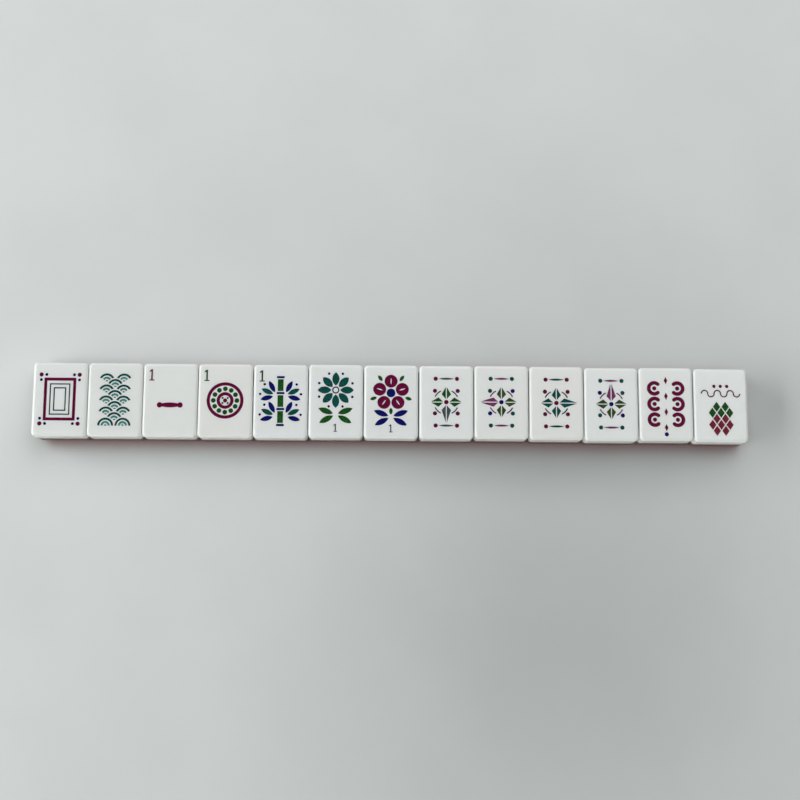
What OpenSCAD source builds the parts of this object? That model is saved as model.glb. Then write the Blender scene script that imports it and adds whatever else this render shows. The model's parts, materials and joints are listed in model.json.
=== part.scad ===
// A row of thirteen mahjong tiles, lying face up and pushed side by side.
// Each tile is three bonded layers, a white face, a thin green stripe and a tinted back,
// with a picture engraved in the face and paint in the engraving.
// The row runs along X, the pictures' tops point to +Y, and the backs lie on Z = 0.

/* [Tile] */
// Width of one tile, along the row
tile_w = 22; // [20:0.5:26]
// Height of one tile, from the foot of its picture to the head
tile_h = 30; // [28:0.5:36]
// Thickness of the white face layer
face_t = 7.7; // [5:0.1:10]
// Thickness of the green stripe layer
stripe_t = 1.5; // [0.5:0.1:2.5]
// Thickness of the tinted back layer
back_t = 4.8; // [4:0.1:8]
// Radius of the upright corners, seen from above
corner_r = 1.8; // [1.6:0.1:3]
// Rounding of the rim round the face
face_round = 1.3; // [0.8:0.1:1.6]
// Rounding of the rim round the back
back_round = 0.9; // [0.5:0.1:1.6]

/* [Row] */
// Mean clearance between neighbouring tiles
tile_gap = 0.22; // [0.05:0.01:0.4]
// Furthest that a tile stands out of line, towards the front
row_jog = 0.4; // [0:0.05:0.8]

/* [Engraving] */
// Depth of the engraving below the face
engrave_depth = 0.5; // [0.4:0.02:0.8]
// Thickness of the paint on the engraving's floor
paint_t = 0.34; // [0.2:0.02:0.38]
// Width of a main line
line_w = 0.85; // [0.6:0.05:1.1]
// Width of a fine line
fine_w = 0.5; // [0.35:0.05:0.7]
// Bare wall that is left between two cells
wall_w = 0.4; // [0.3:0.05:0.6]
// Diameter of a plain round dot
dot_d = 1.7; // [1.2:0.1:1.9]

/* [Numerals] */
// Height of the numeral in a tile's upper corner
corner_one_h = 4.6; // [3:0.1:5.5]
// Height of the numeral at a flower tile's foot
foot_one_h = 3.2; // [2.4:0.1:4]
// Distance from the tile's edge to a numeral
one_margin = 2.5; // [1.8:0.1:3]

/* [Frame tile] */
// Width of the outer frame
frame_w = 12.8; // [10:0.2:14]
// Height of the outer frame
frame_h = 17.4; // [14:0.2:20]
// Width of the outer frame's line
frame_line = 1.2; // [0.8:0.1:1.6]
// Bare step between one frame and the next
frame_step = 1.1; // [0.5:0.1:1.4]

/* [Wave tile] */
// Radius of one wave crest
wave_r = 3.2; // [2.4:0.1:3.6]
// Bare gap between the arcs of a crest, and between crests
wave_gap = 0.5; // [0.3:0.05:0.7]
// Rise from one row of crests to the next
wave_rise = 2.25; // [1.8:0.05:2.7]

/* [Bar tile] */
// Length of the tapered bar
bar_len = 10.4; // [8:0.2:13]
// Thickness of the tapered bar at its middle
bar_t = 2; // [1.4:0.1:2.8]
// Diameter of the round at each end of the bar
bar_end_d = 2.2; // [1.4:0.1:2.8]

/* [Medallion tile] */
// Radius of the medallion, to the outside of its outer ring
medal_r = 7.4; // [6.4:0.1:8.4]
// Width of the medallion's rings
medal_line = 1.3; // [0.9:0.1:1.5]
// Diameter of the beads between the rings
bead_d = 1.9; // [1.4:0.1:2.1]

/* [Cane tile] */
// Width of the cane
cane_w = 2.3; // [1.8:0.1:3]
// Height of the whole cane
cane_h = 20.4; // [17:0.2:23]
// Height of a cane joint
cane_joint_h = 0.9; // [0.6:0.05:1.3]
// Length of a cane leaf
cane_leaf_len = 5.2; // [4.4:0.1:5.6]
// Width of a cane leaf
cane_leaf_w = 2; // [1.4:0.1:2.1]
// Distance from a fan's root to its leaves
fan_start = 1.5; // [1.3:0.1:2]

/* [Daisy tile] */
// Diameter of the daisy's eye
eye_d = 2.9; // [2.6:0.1:3.6]
// Length of a daisy petal
petal_len = 5.4; // [4.8:0.1:5.8]
// Width of a daisy petal
petal_w = 2.9; // [2.2:0.1:3]

/* [Blossom tile] */
// Radius of the circle on which the blossom's petals sit
blossom_r = 4.8; // [4:0.1:5]
// Length of a sepal between two petals
sepal_len = 2.8; // [2:0.1:3.2]

/* [Flower leaves] */
// Length of a leaf under a flower
leaf_len = 6.2; // [5:0.1:6.6]
// Width of a leaf under a flower
leaf_w = 2.3; // [1.6:0.1:2.5]
// Distance from the stalk's foot to its leaves
leaf_start = 1.1; // [1:0.1:1.6]

/* [Compass tiles] */
// Diameter of the star's hub
hub_d = 1.8; // [1.3:0.1:2.3]
// Reach of the three short arms
arm_reach = 6.1; // [5:0.1:6.8]
// Reach of the long arm
pointer_reach = 8.3; // [7:0.1:9]
// Width of an arm at its shoulder
arm_w = 3.8; // [2.8:0.1:4]
// Radius of the arcs between the arms, to the middle of their line
compass_r = 5; // [4.2:0.1:5.8]

/* [Scroll tile] */
// Radius of a scroll, to the middle of its line
scroll_r = 2.25; // [2:0.05:2.4]
// Width of a scroll's line
scroll_line = 1.5; // [0.8:0.1:1.6]
// Diameter of the ball at a scroll's end
ball_d = 1.5; // [1.1:0.05:1.7]

/* [Lozenge tile] */
// Width of a lozenge
lozenge_w = 3; // [2.4:0.1:3.6]
// Height of a lozenge
lozenge_h = 4.2; // [3.4:0.1:5]
// Radius of one bend of the ribbon, to the middle of its line
ribbon_r = 1.3; // [1.1:0.05:1.5]

/* [Colours] */
// White of the face
face_colour = "#e9eeed";
// Green of the stripe
stripe_colour = "#66692f";
// Tint of the back
back_colour = "#a8747f";

/* [Hidden] */
$fn = 48;
// Overrun of a cut through the surface that it opens
over = 0.2;
tile_t = back_t + stripe_t + face_t;

// Tiles from left to right, the layers of each, and the paints in each
TILES = ["frame_tile", "green_dragon", "one_crak", "one_dot", "one_bam", "flower_teal", "flower_magenta",
         "south", "west", "east", "north", "red_dragon", "joker"];
LAYERS = ["face", "stripe", "back", "paint"];
INKS = [["magenta", "teal", "blue"], ["teal", "light_teal"], ["magenta"], ["magenta", "green"],
        ["green", "blue", "teal", "magenta"], ["teal", "blue", "green", "grey"],
        ["magenta", "green", "blue"], ["green", "grey", "magenta"], ["olive", "mauve", "blue", "teal"],
        ["teal", "magenta"], ["olive", "mauve", "blue", "teal"], ["magenta", "blue"],
        ["magenta", "green", "red_brown"]];
INK_COLOURS = [["magenta", "#7d0b4a"], ["teal", "#0b6a5c"], ["light_teal", "#4fa596"], ["blue", "#10206f"],
               ["green", "#2f7d33"], ["olive", "#5b6a18"], ["grey", "#6f7478"], ["mauve", "#8c3f6c"],
               ["red_brown", "#7c2a3a"]];

// How far each tile stands out of line, as a share of the furthest
jog_shares = [0, 0, 0.1, 0.1, 0.25, -0.25, -0.1, 0, -0.4, 0, 0.7, 0.15, 1];
// The jogs' middle, which the row is centred on
jog_middle = row_jog * (max(jog_shares) + min(jog_shares)) / 2;

// How wide each gap is, as a share of the mean clearance
gap_shares = [0.5, 0.5, 0.75, 1.1, 1.1, 1.35, 1.6, 1.2, 1.1, 1.05, 1, 1.05];

function ink_colour(name) = INK_COLOURS[search([name], INK_COLOURS)[0]][1];
function gaps_before(i) = i <= 0 ? 0 : gap_shares[i - 1] + gaps_before(i - 1);
// Where the left side of a tile is, from the left end of the row
function left_side(i) = i * tile_w + gaps_before(i) * tile_gap;
function tile_x(i) = left_side(i) - left_side(len(TILES) - 1) / 2;
function tile_y(i) = jog_middle - row_jog * jog_shares[i];

// The slab of a layer

// Edge of a layer, cut from the side: run is its depth inwards, from z0 up to z1
module edge_profile(run, z0, z1, low_round, high_round) {
    rounding = max(low_round, high_round);
    inner = run - rounding;
    translate([0, z0]) square([inner, z1 - z0]);
    if (rounding > 0)
        translate([inner, z0 + low_round]) square([rounding, z1 - z0 - low_round - high_round]);
    if (high_round > 0)
        translate([inner, z1 - high_round]) quarter_disc(high_round);
    if (low_round > 0)
        translate([inner, z0 + low_round]) mirror([0, 1]) quarter_disc(low_round);
}

module quarter_disc(r) {
    intersection() {
        circle(r);
        square(2 * r);
    }
}

// A layer of the tile between two heights, its upright corners round and its rims rounded
module slab(z0, z1, low_round, high_round) {
    half_w = tile_w / 2 - corner_r;
    half_h = tile_h / 2 - corner_r;
    translate([-half_w, -half_h, z0]) cube([2 * half_w, 2 * half_h, z1 - z0]);
    for (turn = [0, 180]) rotate(turn) {
        translate([half_w, -half_h, 0]) side_bar(2 * half_h, z0, z1, low_round, high_round);
        translate([half_w, half_h, 0]) corner_post(z0, z1, low_round, high_round);
        rotate(90) {
            translate([half_h, -half_w, 0]) side_bar(2 * half_w, z0, z1, low_round, high_round);
            translate([half_h, half_w, 0]) corner_post(z0, z1, low_round, high_round);
        }
    }
}

module side_bar(run, z0, z1, low_round, high_round) {
    translate([0, run, 0]) rotate([90, 0, 0])
        linear_extrude(run) edge_profile(corner_r, z0, z1, low_round, high_round);
}

module corner_post(z0, z1, low_round, high_round) {
    rotate_extrude(angle = 90) edge_profile(corner_r, z0, z1, low_round, high_round);
}

// Shapes that the pictures share

// Draws what follows when its paint is asked for
module inked(name) {
    if ($ink == "all" || $ink == name) children();
}

module ring(r, line) {
    difference() {
        circle(r + line / 2);
        circle(r - line / 2);
    }
}

// Stretch of a ring, up to half a turn
module arc_line(r, line, from, sweep) {
    far = 2 * (r + line);
    intersection() {
        ring(r, line);
        polygon([[0, 0], for (k = [0:2]) far * [cos(from + k * sweep / 2), sin(from + k * sweep / 2)]]);
    }
}

module box_ring(w, h, line) {
    difference() {
        square([w, h], center = true);
        square([w - 2 * line, h - 2 * line], center = true);
    }
}

// Pointed oval along X, where two circles cross
module lens(length, width) {
    r = (pow(length, 2) + pow(width, 2)) / (4 * width);
    intersection() {
        translate([0, width / 2 - r]) circle(r);
        translate([0, r - width / 2]) circle(r);
    }
}

// Pointed oval that starts some way out from the origin and points along an angle
module ray_lens(angle, start, length, width) {
    rotate(angle) translate([start + length / 2, 0]) lens(length, width);
}

// The same shape at all four corners of a rectangle, mirrored with it
module four_corners(x, y) {
    for (sx = [0, 1]) for (sy = [0, 1])
        mirror([sx, 0]) mirror([0, sy]) translate([x, y]) children();
}

// Plain numeral one, as shares of its height: a stem with a flag and a foot
one_shares = [[-0.22, 0], [0.22, 0], [0.22, 0.09], [0.07, 0.09], [0.07, 1], [-0.05, 1], [-0.22, 0.86],
              [-0.22, 0.75], [-0.07, 0.82], [-0.07, 0.09], [-0.22, 0.09]];

module numeral_one(h) {
    translate([0, -h / 2]) polygon(h * one_shares);
}

module corner_one() {
    half_w = 0.22 * corner_one_h;
    translate([one_margin + half_w - tile_w / 2, tile_h / 2 - one_margin - corner_one_h / 2])
        numeral_one(corner_one_h);
}

module foot_one() {
    translate([0, one_margin - tile_h / 2 + foot_one_h / 2]) numeral_one(foot_one_h);
}

// The pictures

// Frames one inside the other, with three dots outside each corner
module frame_art() {
    second = 2 * (frame_line + frame_step);
    third = second + 2 * (fine_w + frame_step);
    dot_x = frame_w / 2 + wall_w + dot_d / 2;
    dot_y = frame_h / 2 + wall_w + dot_d / 2;
    step = dot_d + wall_w;
    inked("magenta") box_ring(frame_w, frame_h, frame_line);
    inked("teal") box_ring(frame_w - second, frame_h - second, fine_w);
    inked("teal") box_ring(frame_w - third, frame_h - third, fine_w);
    inked("magenta") four_corners(dot_x, dot_y) circle(d = dot_d);
    inked("blue") four_corners(dot_x - step, dot_y) circle(d = 0.7 * dot_d);
    inked("blue") four_corners(dot_x, dot_y - step) circle(d = 0.7 * dot_d);
}

// Rows of wave crests, each half hidden by the row below it
wave_rows = 9;

function crests(row) = row % 2 == 0 ? [-0.5, 0.5] : [0];

module wave_art() {
    span = 2 * wave_r + wave_gap;
    foot = -((wave_rows - 1) * wave_rise + wave_r) / 2;
    band = line_w + wave_gap;
    for (row = [0:wave_rows - 1]) for (place = crests(row))
        translate([place * span, foot + row * wave_rise]) difference() {
            intersection() {
                union() {
                    inked("teal") ring(wave_r - line_w / 2, line_w);
                    inked("light_teal") ring(wave_r - band - line_w / 2, line_w);
                    inked("teal") circle(wave_r - 2 * band);
                }
                translate([-2 * wave_r, 0]) square([4 * wave_r, 2 * wave_r]);
            }
            if (row > 0) for (side = [-0.5, 0.5])
                translate([side * span, -wave_rise]) circle(wave_r + wave_gap);
        }
}

// A plain bar that tapers from its middle, with a round at each end
module bar_art() {
    inked("magenta") corner_one();
    inked("magenta") translate([0, -bar_t]) {
        lens(bar_len, bar_t);
        for (side = [-1, 1]) translate([side * (bar_len - bar_end_d) / 2, 0]) circle(d = bar_end_d);
    }
}

// Rings with a circle of beads and a small cross of petals
medal_beads = 12;

module medallion_art() {
    bead_r = medal_r - medal_line - wall_w - bead_d / 2;
    inner_r = bead_r - bead_d / 2 - wall_w;
    cross_start = dot_d / 2 + wall_w / 2;
    cross_len = inner_r - medal_line - wall_w / 2 - cross_start;
    inked("green") corner_one();
    inked("magenta") ring(medal_r - medal_line / 2, medal_line);
    inked("green") for (k = [1:medal_beads])
        rotate(k * 360 / medal_beads) translate([bead_r, 0]) circle(d = bead_d);
    inked("magenta") ring(inner_r - medal_line / 2, medal_line);
    inked("green") for (k = [0:3]) ray_lens(45 + 90 * k, cross_start, cross_len, cross_len);
    inked("magenta") circle(d = dot_d);
}

// A jointed cane with two fans of leaves on each side
cane_parts = 3;
fan_angles = [62, 24, -14];
fan_shares = [0.11, -0.3];

module cane_art() {
    joints = cane_parts + 1;
    part_h = (cane_h - joints * cane_joint_h - 2 * cane_parts * wall_w) / cane_parts;
    rise = part_h + cane_joint_h + 2 * wall_w;
    joint_w = cane_w + 2 * wall_w;
    root_x = cane_w / 2 + wall_w;
    inked("green") corner_one();
    inked("green") for (k = [0:cane_parts - 1])
        translate([0, (k - (cane_parts - 1) / 2) * rise]) square([cane_w, part_h], center = true);
    inked("blue") for (k = [0:cane_parts])
        translate([0, (k - cane_parts / 2) * rise]) square([joint_w, cane_joint_h], center = true);
    for (side = [0, 1]) mirror([side, 0]) for (share = fan_shares) translate([root_x, share * cane_h]) {
        for (k = [0:2])
            inked(k == 1 ? "teal" : "blue") ray_lens(fan_angles[k], fan_start, cane_leaf_len, cane_leaf_w);
        for (k = [0, 1]) inked("magenta") rotate((fan_angles[k] + fan_angles[k + 1]) / 2)
            translate([fan_start + cane_leaf_len, 0]) circle(d = 0.6 * dot_d);
    }
}

// Two pairs of leaves that spread from one stalk
leaf_angles = [20, -28];

module leaf_pairs() {
    for (angle = leaf_angles) for (side = [0, 1])
        mirror([side, 0]) ray_lens(angle, leaf_start, leaf_len, leaf_w);
}

// A daisy over its leaves
daisy_petals = 8;

module daisy_art() {
    reach = eye_d / 2 + wall_w + petal_len;
    head_y = leaf_w + reach / 2 - petal_w / 2;
    inked("teal") translate([0, head_y]) for (k = [1:daisy_petals])
        ray_lens(k * 360 / daisy_petals, eye_d / 2 + wall_w, petal_len, petal_w);
    inked("blue") translate([0, head_y]) difference() {
        circle(d = eye_d);
        circle(d = eye_d - 2 * fine_w);
    }
    inked("blue") translate([0, head_y]) for (k = [1:daisy_petals])
        rotate((k + 0.5) * 360 / daisy_petals) translate([reach, 0]) circle(d = 0.6 * dot_d);
    inked("green") translate([0, head_y - reach - leaf_w - wall_w]) leaf_pairs();
    inked("grey") foot_one();
}

// A round-petalled blossom with sepals between its petals
blossom_petals = 5;

module blossom_art() {
    step = 360 / blossom_petals;
    petal_r = blossom_r * sin(step / 2) - wall_w / 2;
    heart_r = blossom_r - petal_r - wall_w;
    reach = blossom_r + petal_r;
    head_y = leaf_w + reach / 6;
    inked("magenta") translate([0, head_y]) for (k = [1:blossom_petals])
        rotate(90 + k * step) translate([blossom_r, 0]) difference() {
            circle(petal_r);
            lens(petal_r, fine_w);
        }
    inked("blue") translate([0, head_y]) circle(heart_r);
    inked("green") translate([0, head_y]) for (k = [1:blossom_petals])
        ray_lens(90 + (k + 0.5) * step, reach - sepal_len / 2, sepal_len, sepal_len / 2);
    inked("blue") translate([0, head_y - reach - leaf_w]) leaf_pairs();
    inked("blue") foot_one();
}

// Half of one arm of a star, along X, its inner edge half a wall off the middle
module half_arm(reach) {
    start = hub_d / 2 + wall_w;
    polygon([[start, wall_w / 2], [start + arm_w / 2, arm_w / 2], [reach, wall_w / 2]]);
}

// A star with one long arm, arcs and dots between the arms, and a bar over and under it
arc_sweep = 38;

module compass_art(turn, star, stem, dots, more_dots) {
    dot_r = compass_r + fine_w / 2 + wall_w + dot_d / 2;
    bar_y = pointer_reach + wall_w + line_w;
    rotate(turn) for (k = [0:3]) {
        inked(k == 0 ? stem : star) rotate(90 * k) for (side = [0, 1])
            mirror([0, side]) half_arm(k == 0 ? pointer_reach : arm_reach);
        inked(stem) arc_line(compass_r, fine_w, 90 * k + 45 - arc_sweep / 2, arc_sweep);
        inked(k % 2 == 0 ? dots : more_dots) rotate(90 * k + 45) translate([dot_r, 0]) circle(d = dot_d);
    }
    inked(dots) circle(d = hub_d);
    for (side = [-1, 1]) translate([0, side * bar_y]) {
        inked(stem) lens(arm_reach, line_w);
        inked(more_dots) for (end = [-1, 1])
            translate([end * (arm_reach / 2 + wall_w + dot_d / 2), 0]) circle(d = dot_d);
    }
}

// Three pairs of open scrolls with lozenges down the middle
scroll_tiers = 3;

module scroll_art() {
    rise = 2 * scroll_r + scroll_line + wall_w;
    side_x = scroll_r + scroll_line + wall_w + ball_d / 3;
    for (tier = [0:scroll_tiers - 1]) translate([0, (tier - (scroll_tiers - 1) / 2) * rise])
        for (side = [0, 1]) mirror([side, 0]) translate([side_x, 0]) inked("magenta") {
            arc_line(scroll_r, scroll_line, -130, 130);
            arc_line(scroll_r, scroll_line, 0, 130);
            for (end = [-130, 130]) rotate(end) translate([scroll_r, 0]) circle(d = ball_d);
            circle(d = dot_d);
        }
    for (gap = [0:scroll_tiers]) translate([0, (gap - scroll_tiers / 2) * rise])
        inked("magenta") lozenge(ball_d, 2 * ball_d);
    inked("blue") translate([0, -scroll_tiers * rise / 2 - ball_d - wall_w - dot_d / 2]) circle(d = dot_d);
}

module lozenge(w, h) {
    polygon([[w / 2, 0], [0, h / 2], [-w / 2, 0], [0, -h / 2]]);
}

// A lattice of lozenges under a waved ribbon and a row of dots
lozenge_rows = 5;
ribbon_bends = 6;

module lozenge_art() {
    across = lozenge_w * lozenge_h / norm([lozenge_w, lozenge_h]);
    spread = 1 + wall_w / across;
    step_x = lozenge_w * spread;
    step_y = lozenge_h * spread / 2;
    foot = one_margin - tile_h / 2 + lozenge_h / 2;
    for (row = [0:lozenge_rows - 1]) for (k = [0:1 + row % 2])
        translate([(k - (1 + row % 2) / 2) * step_x, foot + row * step_y])
            inked(row < 2 ? "red_brown" : "green") lozenge(lozenge_w, lozenge_h);
    ribbon_y = foot + lozenge_rows * step_y + lozenge_h / 2 + line_w;
    translate([0, ribbon_y]) inked("magenta") for (bend = [0:ribbon_bends - 1])
        translate([(bend - (ribbon_bends - 1) / 2) * 2 * ribbon_r, 0])
            arc_line(ribbon_r, fine_w, 180 * (bend % 2), 180);
    translate([0, ribbon_y + ribbon_r + line_w + dot_d / 2]) inked("magenta")
        for (k = [-1:1]) translate([k * 2 * ribbon_r, 0]) circle(d = 0.8 * dot_d);
}

// The picture of one tile
module art(i) {
    if (TILES[i] == "frame_tile") frame_art();
    if (TILES[i] == "green_dragon") wave_art();
    if (TILES[i] == "one_crak") bar_art();
    if (TILES[i] == "one_dot") medallion_art();
    if (TILES[i] == "one_bam") cane_art();
    if (TILES[i] == "flower_teal") daisy_art();
    if (TILES[i] == "flower_magenta") blossom_art();
    if (TILES[i] == "south") compass_art(-90, "green", "grey", "magenta", "magenta");
    if (TILES[i] == "west") compass_art(180, "olive", "mauve", "blue", "teal");
    if (TILES[i] == "east") compass_art(0, "teal", "teal", "magenta", "magenta");
    if (TILES[i] == "north") compass_art(90, "olive", "mauve", "blue", "teal");
    if (TILES[i] == "red_dragon") scroll_art();
    if (TILES[i] == "joker") lozenge_art();
}

// The four kinds of piece in a tile

module face(i) {
    color(face_colour) translate([tile_x(i), tile_y(i), 0]) difference() {
        slab(back_t + stripe_t, tile_t, 0, face_round);
        translate([0, 0, tile_t - engrave_depth])
            linear_extrude(engrave_depth + over) let($ink = "all") art(i);
    }
}

module stripe(i) {
    color(stripe_colour) translate([tile_x(i), tile_y(i), 0]) slab(back_t, back_t + stripe_t, 0, 0);
}

module back(i) {
    color(back_colour) translate([tile_x(i), tile_y(i), 0]) slab(0, back_t, back_round, 0);
}

module paint(i) {
    translate([tile_x(i), tile_y(i), tile_t - engrave_depth]) for (name = INKS[i])
        color(ink_colour(name)) linear_extrude(paint_t) let($ink = name) art(i);
}

for (i = [0:len(TILES) - 1]) {
    face(i);
    stripe(i);
    back(i);
    paint(i);
}
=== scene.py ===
# %% [markdown]
# # A row of thirteen mahjong tiles
# Each tile is a block of three cast resin sheets, a thick white one, a thin olive one and a mauve
# one, with a picture engraved in the white and coloured enamel lying in the engraving. The solids
# come from the part's own model, which this script loads and never moves. What Blender adds is the
# surface: polished rims, the meniscus of the enamel, the clouding of the resin, light and a camera.

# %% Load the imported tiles
import json
import math

import bmesh
import bpy
import numpy as np
from mathutils import Euler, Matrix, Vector

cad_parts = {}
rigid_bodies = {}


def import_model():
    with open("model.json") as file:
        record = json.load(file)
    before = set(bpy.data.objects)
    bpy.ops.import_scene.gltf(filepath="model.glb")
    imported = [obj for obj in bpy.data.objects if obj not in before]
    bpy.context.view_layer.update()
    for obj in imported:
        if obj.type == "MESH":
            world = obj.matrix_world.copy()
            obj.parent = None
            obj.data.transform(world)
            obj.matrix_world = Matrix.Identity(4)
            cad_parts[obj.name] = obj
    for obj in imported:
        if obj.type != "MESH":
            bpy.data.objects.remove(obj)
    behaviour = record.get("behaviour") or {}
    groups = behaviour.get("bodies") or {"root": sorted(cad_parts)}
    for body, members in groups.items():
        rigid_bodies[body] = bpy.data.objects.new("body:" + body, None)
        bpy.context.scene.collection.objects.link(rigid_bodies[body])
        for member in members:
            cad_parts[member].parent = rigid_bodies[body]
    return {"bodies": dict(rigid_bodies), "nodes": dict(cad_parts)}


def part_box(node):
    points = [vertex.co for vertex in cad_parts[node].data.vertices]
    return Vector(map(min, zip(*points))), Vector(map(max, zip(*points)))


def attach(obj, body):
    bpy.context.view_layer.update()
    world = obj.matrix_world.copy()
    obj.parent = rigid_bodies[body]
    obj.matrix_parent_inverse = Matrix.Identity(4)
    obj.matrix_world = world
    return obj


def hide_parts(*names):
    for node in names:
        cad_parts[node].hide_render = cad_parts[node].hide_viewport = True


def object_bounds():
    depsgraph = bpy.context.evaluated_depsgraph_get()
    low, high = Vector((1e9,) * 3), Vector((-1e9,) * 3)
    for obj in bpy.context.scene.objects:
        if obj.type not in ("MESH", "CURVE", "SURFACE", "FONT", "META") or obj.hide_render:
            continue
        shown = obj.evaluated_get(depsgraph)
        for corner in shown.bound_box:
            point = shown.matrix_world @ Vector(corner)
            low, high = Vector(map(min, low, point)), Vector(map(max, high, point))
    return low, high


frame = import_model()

MM = 0.001
CAD_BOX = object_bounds()
TILES = sorted(frame["bodies"], key=lambda body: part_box(body + "_face")[0].x)
print("tiles, left to right:", ", ".join(TILES))

# %% [markdown]
# ## Sizes, read from the solids
# A size that is typed twice goes wrong once. So the script measures the solids instead: where each
# tile stands, how wide it is, and at which heights its three sheets meet. Only the roundings can't
# be read from a box, and they are given here in millimetres.

# %% Measure the tiles
CORNER_ROUND = 1.8 * MM
FACE_RIM = 1.3 * MM
BACK_RIM = 0.9 * MM


def middle(tile):
    low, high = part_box(tile + "_face")
    return (low + high) / 2


LOW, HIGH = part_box(TILES[0] + "_face")
TILE_WIDTH = HIGH.x - LOW.x
TILE_HEIGHT = HIGH.y - LOW.y
WHITE_Z = LOW.z
FACE_Z = HIGH.z
STRIPE_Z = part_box(TILES[0] + "_stripe")[0].z
PITCH = (middle(TILES[-1]).x - middle(TILES[0]).x) / (len(TILES) - 1)
print("one tile:", [round(s / MM, 2) for s in (TILE_WIDTH, TILE_HEIGHT, FACE_Z)], "mm")
print("sheets meet at", round(STRIPE_Z / MM, 2), "and", round(WHITE_Z / MM, 2), "mm")

# %% [markdown]
# ## The camera and the photograph's view
# The row is seen from nearly straight above, a little from the front. The lens and the place come
# from fitting a plain pinhole camera to the row's ends, to the seams between the tiles and to the
# edges of the faces. Blender measures the lens in millimetres on a 36 mm wide sensor, so a focal
# length in pixels is turned into one by the width of the image.

# %% Camera
IMAGE_PX = 800
FOCAL_PX = 1316
SENSOR_MM = 36
CAMERA_PLACE_MM = (-4.32, -80.71, 538.5)
CAMERA_TURN = (8.83, -0.9, 0.33)
camera_data = bpy.data.cameras.new("camera")
camera_data.sensor_width = SENSOR_MM
camera_data.lens = FOCAL_PX * SENSOR_MM / IMAGE_PX
camera = bpy.data.objects.new("camera", camera_data)
camera.location = Vector(CAMERA_PLACE_MM) * MM
camera.rotation_euler = Euler([math.radians(turn) for turn in CAMERA_TURN])
bpy.context.scene.collection.objects.link(camera)
bpy.context.scene.camera = camera
print("camera lens", round(camera_data.lens, 1), "mm")

# %% [markdown]
# ## Writing nodes as sums
# Materials and Geometry Nodes are both trees of nodes. Placing dozens of Math nodes one by one hides
# the idea behind them, so a small class wraps an output socket and lets Python's own signs stand for
# Math nodes: `1 - mask * 0.3` adds a multiply and a subtract. Every other node comes from one method
# that takes its type, its settings and what goes into its sockets.

# %% Node helpers
class Wire:
    """An output socket that can be used in a sum like a number."""

    def __init__(self, nodes, socket):
        self.nodes = nodes
        self.socket = socket

    def maths(self, operation, *values):
        return self.nodes.node("ShaderNodeMath", {"operation": operation}, dict(enumerate(values)))

    def __add__(self, other):
        return self.maths("ADD", self, other)

    def __sub__(self, other):
        return self.maths("SUBTRACT", self, other)

    def __rsub__(self, other):
        return self.maths("SUBTRACT", other, self)

    def __mul__(self, other):
        return self.maths("MULTIPLY", self, other)

    def __pow__(self, other):
        return self.maths("POWER", self, other)

    __radd__ = __add__
    __rmul__ = __mul__


class Nodes:
    """A tree that nodes are added to."""

    def __init__(self, tree):
        self.tree = tree
        self.tree.nodes.clear()

    def node(self, kind, settings=None, sockets=None, output=0):
        made = self.tree.nodes.new(kind)
        for name, value in (settings or {}).items():
            setattr(made, name, value)
        for name, value in (sockets or {}).items():
            for wire in value if isinstance(value, list) else [value]:
                if isinstance(wire, Wire):
                    self.tree.links.new(wire.socket, made.inputs[name])
                else:
                    made.inputs[name].default_value = wire
        return Wire(self, made.outputs[output] if len(made.outputs) else None)


print("node helpers ready")

# %% [markdown]
# ## Parts that every finish uses
# A finish reads its place from Object coordinates, which are metres here, so a pattern's scale is
# written as the size of its patches. `step` gives a soft mask between two values, `noise` a cloud
# pattern between 0 and 1, and `blend` mixes two colours. Colours are written as they look in a
# picture, in the sRGB numbers from 0 to 255, and turned into the linear ones that a shader needs.

# %% Finish helpers
def linear(level):
    """The light that an sRGB level stands for, by the standard's own curve."""
    return ((level / 255 + 0.055) / 1.055) ** 2.4 if level > 10 else level / 255 / 12.92


def colour(red, green, blue):
    return (linear(red), linear(green), linear(blue), 1)


class Finish(Nodes):
    """A material that is built from nodes."""

    def __init__(self, name):
        self.material = bpy.data.materials.new(name)
        self.material.use_nodes = True
        super().__init__(self.material.node_tree)
        self.place = self.node("ShaderNodeTexCoord", output="Object")

    def axis(self, name, source=None):
        return self.node("ShaderNodeSeparateXYZ", {}, {0: source or self.place}, output=name)

    def noise(self, patch, detail=2, roughness=0.5, stretch=(1, 1, 1), twist=0):
        place = self.node("ShaderNodeMapping", {}, {"Vector": self.place, "Scale": stretch})
        sockets = {"Vector": place, "Scale": 1 / patch, "Detail": detail, "Roughness": roughness}
        return self.node("ShaderNodeTexNoise", {}, {**sockets, "Distortion": twist})

    def step(self, value, start, end):
        sockets = {"Value": value, "From Min": start, "From Max": end}
        return self.node("ShaderNodeMapRange", {"interpolation_type": "SMOOTHSTEP"}, sockets)

    def blend(self, share, first, second):
        return self.node("ShaderNodeMix", {"data_type": "RGBA"}, {0: share, 6: first, 7: second}, output=2)

    def bump(self, height, distance, under=None):
        sockets = {"Height": height, "Distance": distance, "Strength": 1}
        if under is not None:
            sockets["Normal"] = under
        return self.node("ShaderNodeBump", {}, sockets)

    def surface(self, **sockets):
        names = {name.replace("_", " "): value for name, value in sockets.items()}
        shader = self.node("ShaderNodeBsdfPrincipled", {}, names)
        self.node("ShaderNodeOutputMaterial", {}, {"Surface": shader})
        return self.material


print("black and white are", colour(0, 0, 0)[0], "and", colour(255, 255, 255)[0])

# %% [markdown]
# ## Marks of making and of use
# All three sheets are the same kind of resin, so they share their marks. Sheets come from several
# pours, which gives each tile a slightly other shade: a white noise texture turns the tile's number
# into a random shade, and gives the same one on each run. Hands polish the rims and soil the sides,
# so a mask finds both by the direction in which the surface faces. And sliding over tables leaves
# hair-fine scratches: a noise that is stretched along one axis until its patches are lines.

# %% Marks on resin
SPECK = 0.35 * MM
SCRATCH = 0.05 * MM
MARK_HEIGHT = 0.002 * MM
WAVE_HEIGHT = 0.006 * MM
RIM_LEAN = (0.55, 0.98)


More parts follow.
